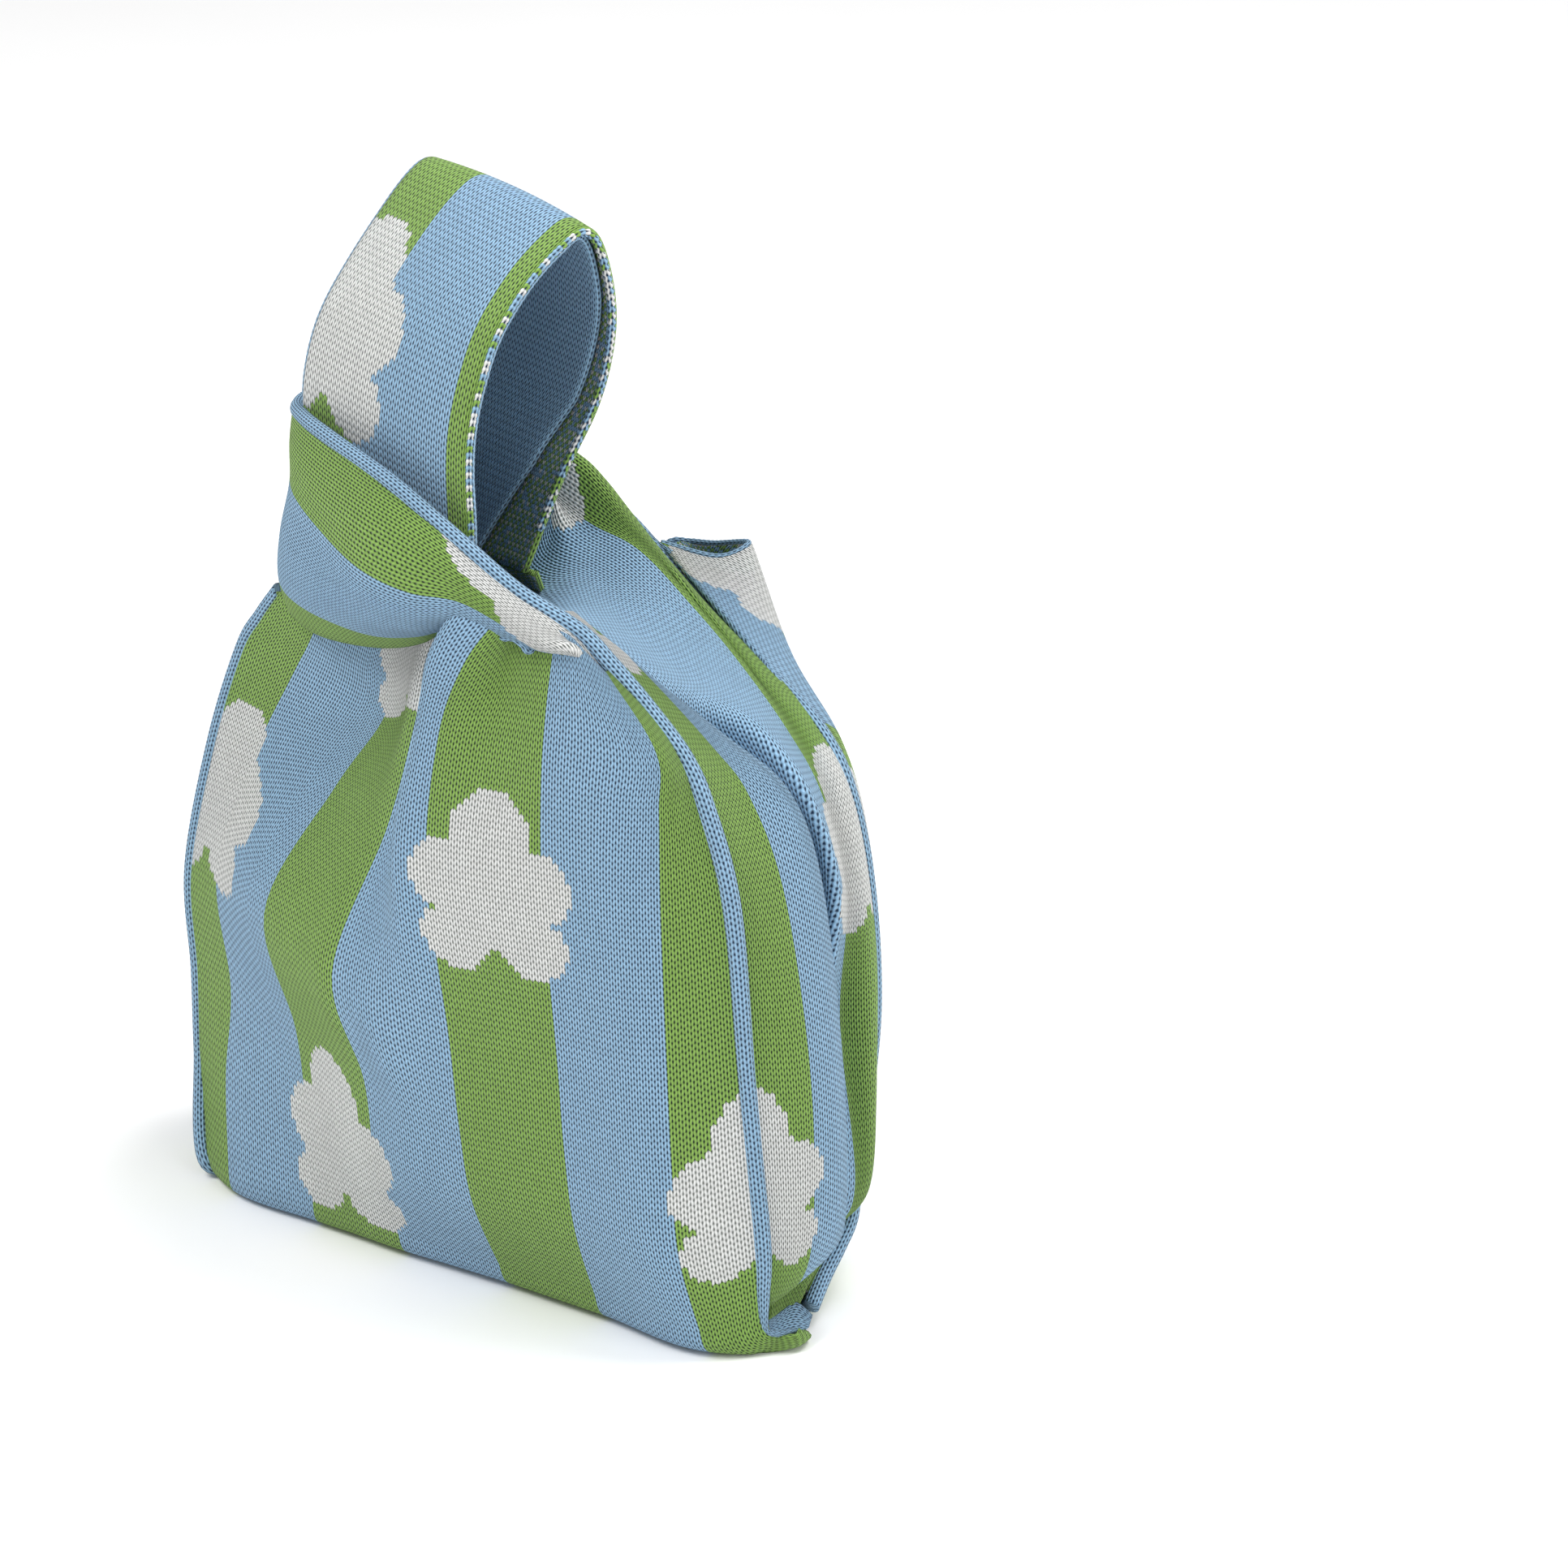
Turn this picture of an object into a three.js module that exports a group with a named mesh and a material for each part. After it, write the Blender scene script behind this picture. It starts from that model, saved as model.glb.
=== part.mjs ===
// A knitted knot bag, standing, with its long handle drawn through its short one.
// One knitted tube: a front, a back and two side gussets that fold inwards, with a rounded
// rib at each of the four corners. The bottom turns under and is sewn across. At the top
// the two left straps meet in a long wrist loop, and the two right straps in a short handle
// that lies over to the left and holds the long one like a collar.
// Millimetres, +Z up, front towards -Y, origin on the table under the bag's middle.
import * as THREE from 'three';

// Knit and clearances
const FABRIC = 1.9;
const GAP = 0.3;
const RIB_RADIUS = 2.6;
const SEAM_RADIUS = 1.5;
const HEM_RADIUS = 1.3;
const BASE_CLEARANCE = 0.6;

// Body, as it stands
const BODY_WIDTH = 208;
const BODY_DEPTH = 108;
const NECK_HEIGHT = 180;
const FOLD_DEPTH = 16;

// Long handle
const STRAP_WIDTH = 65;
const LOOP_DEPTH = 50;
const LOOP_HEIGHT = 65;
const LOOP_YAW = -15;
const THROAT_BOTTOM = 188;
const THROAT_TOP = 212;
const THROAT_DEPTH = 35;
const THROAT_LEAN = 10;
const LOOP_ROOT_HEIGHT = 24;

// Wales, the stitch columns, across each face and each strap
const FACE_WALES = 124;
const GUSSET_WALES = 64;
const STRAP_WALES = 38;

// Wales of the neck that the straps cover beside each hem
const FRONT_HEM_INSET = 20;
const BACK_HEM_LEAD = 8;
const BACK_HEM_INSET = 5;

// The lines below are drawn on a bag of this size, and follow the driving sizes above
const DRAWN = { width: 208, depth: 108, neck: 180, strap: 65, fold: 16 };

function at([x, y, z]) {
  return new THREE.Vector3(
    x * BODY_WIDTH / DRAWN.width,
    y * BODY_DEPTH / DRAWN.depth,
    FABRIC + BASE_CLEARANCE + z * NECK_HEIGHT / DRAWN.neck,
  );
}

// Corner ribs, from the base up to the knot
const FRONT_LEFT_CORNER = [
  [-94, -30, 0], [-104, -19, 28], [-106.5, -15, 73], [-93, -17, 117], [-79, -19, 147], [-66, -22, 163],
];
const FRONT_RIGHT_CORNER = [
  [98, -26, 0], [95, -28, 28], [91, -29, 73], [88, -31, 120], [81.6, -33, 146], [73.5, -34.4, 160.5],
];
const BACK_RIGHT_CORNER = [
  [94, 12, 0], [94, 19, 28], [93, 25, 75], [90, 26, 107.5], [82, 26.5, 133.5], [62, 28, 154], [40, 28.5, 172],
];
const BACK_LEFT_CORNER = [
  [-101, 15, 0], [-103, 18, 28], [-105, 19, 73], [-101, 19, 104], [-91, 17, 130], [-76, 11, 150],
  [-60, 0, 164],
];

// Stripe lines of the front, by wale, as the filled front hangs from the knot
const FRONT_LINES = [
  [0, FRONT_LEFT_CORNER],
  [12, [[-80, -38, 0], [-85, -29, 28], [-86, -22, 73], [-75, -21, 120], [-55.5, -25, 148], [-41, -31, 168]]],
  [32, [[-43, -40, 0], [-47, -39, 28], [-60, -35, 73], [-45, -27, 120], [-22, -31, 146], [-10, -38, 172]]],
  [52, [[-12, -38.5, 0], [-13.5, -48, 28], [-24, -52, 73], [-13, -40, 120], [-3, -39, 148], [2, -42, 176]]],
  [62, [[4, -37.5, 0], [3.5, -50, 28], [-5, -54, 73], [-2, -51.5, 120], [6, -48.5, 148], [9, -46, 178]]],
  [72, [[20, -37, 0], [20.5, -50, 28], [17, -54, 73], [11.5, -54.5, 120], [12.8, -52, 148], [18, -49, 178]]],
  [92, [[51, -37, 0], [51, -47, 28], [47.5, -49, 73], [45, -50.5, 120], [45, -49.5, 148], [44, -46.5, 170]]],
  [112, [[83, -38, 0], [81, -44, 28], [77, -43, 73], [75, -42.5, 120], [74.5, -41.5, 141], [72.5, -41, 150]]],
  [124, FRONT_RIGHT_CORNER],
];

// Stripe lines of the back, by wale from its right corner, with the loose neck at the right
const BACK_LINES = [
  [0, BACK_RIGHT_CORNER],
  [7, [[92, 22, 0], [93, 30, 28], [89, 36, 75], [85, 38, 107], [76, 38, 134], [60, 38, 153], [38, 37, 176]]],
  [14, [[79, 31, 0], [80, 38, 28], [80, 43, 75], [76, 45, 107], [66, 46, 134], [53, 46, 154], [40, 44, 182]]],
  [24, [[66, 34, 0], [68, 43, 28], [69, 48, 75], [65, 50, 107], [56, 51, 134], [42, 51, 155], [22, 50, 178]]],
  [38, [[48, 36, 0], [50, 45, 28], [50, 50, 75], [46, 52, 107], [38, 51, 134], [26, 49, 154], [11, 45, 175]]],
  [50, [[26, 37, 0], [26, 46, 28], [25, 52, 75], [22, 52, 107], [17, 50, 132], [11, 43, 149], [5, 37, 162]]],
  [64, [[0, 38, 0], [0, 47, 28], [0, 53, 75], [0, 52, 106], [0, 48, 129], [0, 39, 145], [0, 30, 155]]],
  [86, [
    [-38, 36, 0], [-40, 43, 28], [-42, 48, 75], [-38, 46, 106], [-32, 40, 130], [-24, 26, 150],
    [-16, 11, 163],
  ]],
  [104, [
    [-70, 29, 0], [-72, 36, 28], [-74, 40, 75], [-70, 38, 104], [-62, 32, 130], [-50, 20, 150],
    [-38, 5, 165],
  ]],
  [124, BACK_LEFT_CORNER],
];

// Gusset lines, by wale: a swell behind each rib and the fold between them
const RIGHT_GUSSET_LINES = [
  [0, [...FRONT_RIGHT_CORNER, [57.2, -38.5, 179], [43, -44, 191]]],
  [14, [
    [99, -17, 0], [103, -17.5, 28], [103.5, -17.5, 74], [95, -18, 122], [87, -19, 144], [78, -21.5, 157],
    [61, -29, 174], [46, -35, 185],
  ]],
  [32, [
    [92, -4, 0], [88, 0, 28], [88, 1, 73], [90, -3, 122], [86, -8, 143], [74, -15, 156],
    [59, -22, 170], [44, -26, 181],
  ]],
  [50, [
    [96, 4, 0], [98, 12, 28], [97, 15, 74], [94, 15.5, 109], [84, 16, 134], [67, 15, 149],
    [50, 12, 163], [36, 9, 174],
  ]],
  [64, [...BACK_RIGHT_CORNER, [28, 28, 183]]],
];
const LEFT_GUSSET_LINES = [
  [0, FRONT_LEFT_CORNER],
  [14, [[-99, -16, 0], [-107, -9, 28], [-109, -6, 73], [-100, -7, 118], [-86, -10, 143], [-69, -12, 159]]],
  [32, [[-92, -4, 0], [-91, 1, 28], [-90, 2, 73], [-83, 1, 117], [-72, -3, 142], [-62, -9, 158]]],
  [50, [[-103, 6, 0], [-108, 9, 28], [-109, 10, 73], [-101, 10, 117], [-85, 5, 142], [-66, -2, 159]]],
  [64, [[-101, 15, 0], [-103, 18, 28], [-105, 19, 73], [-97, 18, 116], [-83, 14, 142], [-64, 3, 161]]],
];

// The short handle: its upper rib and its lower edge, from the front corner round to the back
const BAND_RIB = [
  [57.2, -38.5, 179], [43, -44, 191], [28, -49.5, 202], [8, -52, 213.5], [-20, -46, 220.5],
  [-44, -38.5, 221.5], [-57, -29, 221.5], [-60, -14, 220], [-54, 4, 218], [-38, 16.5, 216.5],
  [-11, 21.5, 209.5], [8, 24, 199.5], [24, 27, 186.5],
];
const BAND_EDGE = [
  [65, -52, 155], [51, -57, 165], [37, -58, 175], [22, -57, 181], [3, -56, 178],
  [-20, -49, 171], [-47, -40, 168.5], [-65, -29, 168.5], [-68, -14, 169.5], [-62, 4, 168.5],
  [-42, 19, 166], [-13, 24.5, 164], [9, 28, 162], [26, 31.5, 158], [42, 34.5, 151],
];

// Where the long handle comes up, in the middle of the band
const HANDLE_PLACE = [-11, -20, 0];

// The bottom seam, along the middle of the base
const SEAM_LINE = [[-100, -2], [-40, -5], [40, -7], [98, -9]];

// Heights of the long handle: below the band it belongs to the bag, inside the band it slides
const THROAT_FOOT = at([0, 0, THROAT_BOTTOM]).z;
const THROAT_HEAD = at([0, 0, THROAT_TOP]).z;
const LOOP_FOOT = THROAT_HEAD + LOOP_ROOT_HEIGHT;

function curve(points) {
  return new THREE.CatmullRomCurve3(points, false, 'catmullrom', 0.5);
}

// A face of knitted fabric through its stripe lines: a point for each wale and rise (0 to 1)
function fabric(lines) {
  const wales = lines.map(([wale]) => wale);
  const rails = lines.map(([, points]) => curve(points.map(at)));
  return (wale, rise) => {
    const across = curve(rails.map((rail) => rail.getPoint(rise)));
    let k = 0;
    while (k < wales.length - 2 && wale > wales[k + 1]) {
      k += 1;
    }
    const share = (wale - wales[k]) / (wales[k + 1] - wales[k]);
    return across.getPoint((k + share) / (wales.length - 1));
  };
}

// A closed sheet: a grid of mid-surface points, given half its thickness on each side,
// moved along its own normals by lift
function sheet(columns, rows, point, thickness, lift = 0) {
  const grid = [];
  for (let i = 0; i <= columns; i += 1) {
    const line = [];
    for (let j = 0; j <= rows; j += 1) {
      line.push(point(i / columns, j / rows));
    }
    grid.push(line);
  }
  const normal = (i, j) => {
    const along = grid[Math.min(i + 1, columns)][j].clone().sub(grid[Math.max(i - 1, 0)][j]);
    const up = grid[i][Math.min(j + 1, rows)].clone().sub(grid[i][Math.max(j - 1, 0)]);
    return along.cross(up).normalize();
  };
  const vertices = [];
  for (const side of [0.5, -0.5]) {
    for (let i = 0; i <= columns; i += 1) {
      for (let j = 0; j <= rows; j += 1) {
        const moved = grid[i][j].clone().addScaledVector(normal(i, j), lift + side * thickness);
        vertices.push(moved.x, moved.y, moved.z);
      }
    }
  }
  const outer = (i, j) => i * (rows + 1) + j;
  const inner = (i, j) => outer(i, j) + (columns + 1) * (rows + 1);
  const faces = [];
  const quad = (a, b, c, d) => faces.push(a, b, c, a, c, d);
  for (let i = 0; i < columns; i += 1) {
    for (let j = 0; j < rows; j += 1) {
      quad(outer(i, j), outer(i + 1, j), outer(i + 1, j + 1), outer(i, j + 1));
      quad(inner(i, j), inner(i, j + 1), inner(i + 1, j + 1), inner(i + 1, j));
    }
    quad(outer(i, 0), inner(i, 0), inner(i + 1, 0), outer(i + 1, 0));
    quad(outer(i, rows), outer(i + 1, rows), inner(i + 1, rows), inner(i, rows));
  }
  for (let j = 0; j < rows; j += 1) {
    quad(outer(0, j), outer(0, j + 1), inner(0, j + 1), inner(0, j));
    quad(outer(columns, j), inner(columns, j), inner(columns, j + 1), outer(columns, j + 1));
  }
  const geometry = new THREE.BufferGeometry();
  geometry.setAttribute('position', new THREE.Float32BufferAttribute(vertices, 3));
  geometry.setIndex(faces);
  geometry.computeVertexNormals();
  return geometry;
}

// A round cord of knit along a stretch of a curve
const TUBE_SIDES = 8;
function tube(path, radius, steps, from = 0, to = 1) {
  const points = [];
  for (let i = 0; i <= steps; i += 1) {
    points.push(path.getPointAt(from + (to - from) * i / steps));
  }
  const section = new THREE.Shape();
  for (let i = 0; i < TUBE_SIDES; i += 1) {
    const turn = 2 * Math.PI * i / TUBE_SIDES;
    const x = radius * Math.cos(turn);
    const y = radius * Math.sin(turn);
    if (i === 0) {
      section.moveTo(x, y);
    } else {
      section.lineTo(x, y);
    }
  }
  section.closePath();
  return new THREE.ExtrudeGeometry(section, { steps, extrudePath: curve(points) });
}

const bag = new THREE.Group();
const YARN = { blue: 0x8fb4dc, speckle: 0x7f9f9a };

function piece(name, geometry, yarn) {
  const material = new THREE.MeshStandardMaterial({ color: YARN[yarn], roughness: 0.9, metalness: 0 });
  const mesh = new THREE.Mesh(geometry, material);
  mesh.name = name;
  bag.add(mesh);
}

const mix = (a, b, share) => a.clone().lerp(b, share);
const between = (a, b, share) => a + (b - a) * share;
const upward = (height) => new THREE.Vector3(0, 0, height);

// The long handle stands in its own frame, turned a little to the front's right:
// across runs from its rib to its neck edge, ahead towards the front
const yaw = THREE.MathUtils.degToRad(LOOP_YAW);
const ACROSS = new THREE.Vector3(Math.cos(yaw), Math.sin(yaw), 0);
const AHEAD = new THREE.Vector3(Math.sin(yaw), -Math.cos(yaw), 0);
const HANDLE_CENTRE = at(HANDLE_PLACE);
function handlePoint(across, ahead, z) {
  const point = HANDLE_CENTRE.clone();
  point.addScaledVector(ACROSS, across);
  point.addScaledVector(AHEAD, ahead);
  return point.setZ(z);
}

// The short handle's closed end keeps its distance from the long strap when that is wider
const strapSpread = (STRAP_WIDTH - DRAWN.strap) / 2;
function bandPoints(line) {
  const closedEnd = Math.min(...line.map(([x]) => x));
  return line.map(([x, y, z]) => {
    const wrap = THREE.MathUtils.clamp(x / closedEnd, 0, 1);
    return at([x, y, z]).addScaledVector(ACROSS, -strapSpread * wrap);
  });
}

// Corner ribs. The right pair is one rib, which runs on as the upper edge of the short handle
const rightRib = curve([
  ...FRONT_RIGHT_CORNER.map(at),
  ...bandPoints(BAND_RIB),
  ...BACK_RIGHT_CORNER.toReversed().map(at),
]);
const frontLeftRib = curve(FRONT_LEFT_CORNER.map(at));
const backLeftRib = curve(BACK_LEFT_CORNER.map(at));

// Share of a curve's length at which it comes nearest to a point
function nearest(path, target) {
  const STEPS = 600;
  let best = 0;
  for (let i = 1; i <= STEPS; i += 1) {
    if (path.getPointAt(i / STEPS).distanceTo(target) < path.getPointAt(best).distanceTo(target)) {
      best = i / STEPS;
    }
  }
  return best;
}
const lengthShare = (path, length) => length / path.getLength();
const bandStart = nearest(rightRib, at(FRONT_RIGHT_CORNER.at(-1)));
const bandEnd = nearest(rightRib, at(BACK_RIGHT_CORNER.at(-1)));
const ribJoint = lengthShare(rightRib, 2 * GAP);
const ribFoot = (path) => lengthShare(path, RIB_RADIUS / 2);
piece('front_right_rib', tube(rightRib, RIB_RADIUS, 16, ribFoot(rightRib), bandStart - ribJoint), 'blue');
piece('short_handle_rib', tube(rightRib, RIB_RADIUS, 40, bandStart, bandEnd), 'blue');
piece('back_right_rib', tube(rightRib, RIB_RADIUS, 16, bandEnd + ribJoint, 1 - ribFoot(rightRib)), 'blue');
piece('front_left_rib', tube(frontLeftRib, RIB_RADIUS, 16, ribFoot(frontLeftRib)), 'blue');
piece('back_left_rib', tube(backLeftRib, RIB_RADIUS, 16, ribFoot(backLeftRib)), 'blue');

// The sheet of one face, cut back on both sides until it clears the rib beside it
const RIB_CLEARANCE = RIB_RADIUS + GAP + FABRIC / 4;
const PATH_POINTS = 240;
const distanceTo = (path, target) => (
  Math.min(...path.getSpacedPoints(PATH_POINTS).map((point) => point.distanceTo(target)))
);
const WALE_STEP = 0.1;
function clearWale(face, rib, wale, rise, step) {
  let edge = wale;
  while (distanceTo(rib, face(edge, rise)) < RIB_CLEARANCE) {
    edge += step;
  }
  return edge;
}
function panel(columns, rows, face, wales, firstRib, lastRib) {
  const edges = [];
  for (let j = 0; j <= rows; j += 1) {
    const first = clearWale(face, firstRib, 0, j / rows, WALE_STEP);
    const last = clearWale(face, lastRib, wales, j / rows, -WALE_STEP);
    edges.push([first, last]);
  }
  return sheet(columns, rows, (s, t) => {
    const [first, last] = edges[Math.round(t * rows)];
    return face(between(first, last, s), t);
  }, FABRIC);
}

// Front, back and gussets. The fold of each gusset moves in and out with the fold's depth
function folded(lines, inward) {
  const draw = inward * (FOLD_DEPTH - DRAWN.fold);
  return lines.map(([wale, points]) => {
    const shift = wale === GUSSET_WALES / 2 ? draw : 0;
    return [wale, points.map(([x, y, z]) => [x + shift, y, z])];
  });
}
const mirrored = (lines, wales) => lines.map(([wale, points]) => [wales - wale, points]).reverse();
const frontFace = fabric(FRONT_LINES);
const backFace = fabric(BACK_LINES);
const rightFace = fabric(folded(RIGHT_GUSSET_LINES, -1));
const leftFace = fabric(mirrored(folded(LEFT_GUSSET_LINES, 1), GUSSET_WALES));
piece('front_panel', panel(24, 12, frontFace, FACE_WALES, frontLeftRib, rightRib), 'blue');
piece('back_panel', panel(20, 12, backFace, FACE_WALES, rightRib, backLeftRib), 'blue');
piece('right_gusset', panel(16, 14, rightFace, GUSSET_WALES, rightRib, rightRib), 'blue');
piece('left_gusset', panel(14, 10, leftFace, GUSSET_WALES, backLeftRib, frontLeftRib), 'blue');

// Base: the front and the back turn under and meet at the bottom seam
const seamPath = curve(SEAM_LINE.map(([x, y]) => at([x, y, 0]).setZ(FABRIC / 2)));
function baseFlap(face, side) {
  return sheet(16, 4, (s, t) => {
    const outward = new THREE.Vector3(0, side, 0);
    const rim = face(FACE_WALES * s, 0).setZ(FABRIC / 2).addScaledVector(outward, FABRIC / 2);
    const seam = seamPath.getPointAt(side < 0 ? s : 1 - s).addScaledVector(outward, FABRIC / 2 + GAP);
    return mix(seam, rim, t);
  }, FABRIC);
}
piece('base_front', baseFlap(frontFace, -1), 'blue');
piece('base_back', baseFlap(backFace, 1), 'blue');
piece('bottom_seam', tube(seamPath, FABRIC / 2, 16), 'speckle');

// Neck hems: the turned edges of the front and the back between the straps,
// set along the way that the face rises into its edge
const BELOW_EDGE = 0.97;
const HEM_POINTS = 12;
function hem(face, fromWale, toWale) {
  const points = [];
  for (let i = 0; i <= HEM_POINTS; i += 1) {
    const wale = between(fromWale, toWale, i / HEM_POINTS);
    const edge = face(wale, 1);
    const rise = edge.clone().sub(face(wale, BELOW_EDGE)).normalize();
    points.push(edge.addScaledVector(rise, HEM_RADIUS + 3 * GAP));
  }
  return tube(curve(points), HEM_RADIUS, 20);
}
const farStrap = FACE_WALES - STRAP_WALES;
piece('front_neck_hem', hem(frontFace, STRAP_WALES + FRONT_HEM_INSET, farStrap), 'blue');
piece('back_neck_hem', hem(backFace, STRAP_WALES - BACK_HEM_LEAD, farStrap - BACK_HEM_INSET), 'blue');

// The short handle: an outer layer and a facing, between the rib and the overlocked edge
const edgePath = curve(bandPoints(BAND_EDGE));
const ribSpans = FRONT_RIGHT_CORNER.length + BAND_RIB.length + BACK_RIGHT_CORNER.length - 1;
const bandTop = (share) => rightRib.getPoint(
  (FRONT_RIGHT_CORNER.length - 1 + share * (BAND_RIB.length + 1)) / ribSpans,
);
function bandPoint(share, rise) {
  const low = edgePath.getPoint(share);
  const across = bandTop(share).sub(low);
  const width = across.length();
  const onBand = (reach) => low.clone().addScaledVector(across, reach / width);
  let top = width;
  while (distanceTo(rightRib, onBand(top)) < RIB_CLEARANCE) {
    top -= GAP;
  }
  return onBand(between(SEAM_RADIUS + 3 * GAP, top, rise));
}
const facingStep = FABRIC + GAP;
piece('short_handle_outer', sheet(34, 4, bandPoint, FABRIC), 'blue');
piece('short_handle_facing', sheet(34, 4, bandPoint, FABRIC, facingStep), 'blue');
piece('short_handle_seam', tube(edgePath, SEAM_RADIUS, 36), 'speckle');

// Inside the short handle the two straps of the long one slide with it
const halfThroat = THROAT_DEPTH / 2;
const doubled = 2 * FABRIC + GAP;
const strapAcross = (share) => between(-STRAP_WIDTH / 2, STRAP_WIDTH / 2, share);
const throatZ = (share) => between(THROAT_FOOT, THROAT_HEAD, share);
const throatFront = (s, t) => handlePoint(strapAcross(s), halfThroat, throatZ(t));
const throatBack = (s, t) => handlePoint(strapAcross(s), between(THROAT_LEAN, 0, t) - halfThroat, throatZ(t));
piece('long_handle_throat_front', sheet(6, 3, throatFront, doubled), 'blue');
piece('long_handle_throat_back', sheet(6, 3, (s, t) => throatBack(1 - s, t), doubled), 'blue');

// Below them the straps spread into the left of the front and of the back
function strapBase(face, wale, throat) {
  return (s, t) => {
    const foot = face(wale(s), 1).add(upward(FABRIC / 2 + GAP));
    const head = throat(s, 0).sub(upward(FABRIC));
    return mix(foot, head, t);
  };
}
const BASE_START = 0.1;
const strapWale = (share) => STRAP_WALES * between(BASE_START, 1, share);
const frontBase = strapBase(frontFace, strapWale, throatFront);
const backBase = strapBase(backFace, (s) => FACE_WALES - strapWale(s), throatBack);
piece('long_handle_base_front', sheet(8, 4, frontBase, FABRIC), 'blue');
piece('long_handle_base_back', sheet(8, 4, (s, t) => backBase(1 - s, t), FABRIC), 'blue');

// The wrist loop above the band: a doubled strap bent over from the front to the back.
// Each point is a share of the loop's depth and of its height
const LOOP_LINE = [
  [0.35, 0], [0.36, 0.2], [0.22, 0.48], [0.04, 0.72], [-0.2, 0.92], [-0.44, 1], [-0.58, 0.84], [-0.64, 0.58],
  [-0.57, 0.32], [-0.35, 0],
];
const loopPath = curve(LOOP_LINE.map(([ahead, rise]) => (
  new THREE.Vector3(0, ahead * LOOP_DEPTH, THROAT_HEAD + GAP + rise * LOOP_HEIGHT)
)));
function loopPoint(across, share) {
  const bend = loopPath.getPointAt(share);
  return handlePoint(across, bend.y, bend.z);
}
const footFront = nearest(loopPath, loopPath.points.at(0).clone().setZ(LOOP_FOOT));
const footBack = nearest(loopPath, loopPath.points.at(-1).clone().setZ(LOOP_FOOT));
const footGap = lengthShare(loopPath, GAP);
const loopShare = (share) => between(footFront + footGap, footBack - footGap, share);
const loopEdge = STRAP_WIDTH / 2 - RIB_RADIUS;
const loopAcross = (share) => between(RIB_RADIUS + GAP - loopEdge, loopEdge - SEAM_RADIUS - GAP, share);
const loopSheet = (s, t) => loopPoint(loopAcross(s), loopShare(t));
const LOOP_STEPS = 26;
piece('loop_outer', sheet(4, LOOP_STEPS, loopSheet, FABRIC), 'blue');
piece('loop_facing', sheet(4, LOOP_STEPS, loopSheet, FABRIC, -facingStep), 'blue');

// The loop's rounded rib on its left edge and its overlocked neck edge on the right
function loopCord(across, radius) {
  const points = [];
  for (let i = 0; i <= LOOP_STEPS; i += 1) {
    points.push(loopPoint(across, loopShare(i / LOOP_STEPS)));
  }
  return tube(curve(points), radius, LOOP_STEPS);
}
piece('loop_rib', loopCord(-loopEdge, RIB_RADIUS), 'blue');
piece('loop_seam', loopCord(loopEdge, SEAM_RADIUS), 'speckle');

// Where the loop leaves the band its doubled straps bend as it flops
const rootFront = (s, t) => loopPoint(strapAcross(s), between(footGap, footFront - footGap, t));
const rootBack = (s, t) => loopPoint(strapAcross(1 - s), between(1 - footGap, footBack + footGap, t));
piece('loop_root_front', sheet(6, 4, rootFront, doubled), 'blue');
piece('loop_root_back', sheet(6, 4, rootBack, doubled), 'blue');

export default bag;
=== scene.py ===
import math
import bpy
import numpy as np
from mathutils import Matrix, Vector


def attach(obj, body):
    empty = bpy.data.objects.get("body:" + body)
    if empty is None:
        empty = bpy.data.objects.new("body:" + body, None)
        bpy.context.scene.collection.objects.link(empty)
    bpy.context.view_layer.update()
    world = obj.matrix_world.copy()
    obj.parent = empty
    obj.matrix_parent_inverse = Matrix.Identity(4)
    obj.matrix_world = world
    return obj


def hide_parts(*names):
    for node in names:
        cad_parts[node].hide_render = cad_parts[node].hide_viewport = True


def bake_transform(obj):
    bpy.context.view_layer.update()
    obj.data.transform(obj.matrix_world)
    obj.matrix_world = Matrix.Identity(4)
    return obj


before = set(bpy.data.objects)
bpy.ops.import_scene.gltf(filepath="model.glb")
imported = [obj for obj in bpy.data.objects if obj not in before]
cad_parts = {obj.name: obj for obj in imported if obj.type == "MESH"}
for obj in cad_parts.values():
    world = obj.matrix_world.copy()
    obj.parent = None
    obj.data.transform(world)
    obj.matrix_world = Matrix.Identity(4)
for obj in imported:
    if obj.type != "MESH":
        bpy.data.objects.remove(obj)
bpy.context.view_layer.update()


# FRONT OF THE BAG
# One knitted face, filled and hanging from the knot, with a pleat where the neck is gathered.
# Each line follows a wale (a column of stitches) from the base up, in millimetres above the table.
MM = 0.001
WALE = 1.7
COURSE = 1.63
FABRIC = 1.7
FRONT_WALES = 124

BLUE = (0.285, 0.475, 0.665)
GREEN = (0.235, 0.412, 0.085)
WHITE = (0.730, 0.740, 0.725)
# Painted shade: the dark seen in the small holes between stitches, one colour for each yarn.
BLUE_HOLE_SHADE = (0.012, 0.032, 0.075)
GREEN_HOLE_SHADE = (0.006, 0.024, 0.004)
WHITE_HOLE_SHADE = (0.200, 0.215, 0.200)

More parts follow.
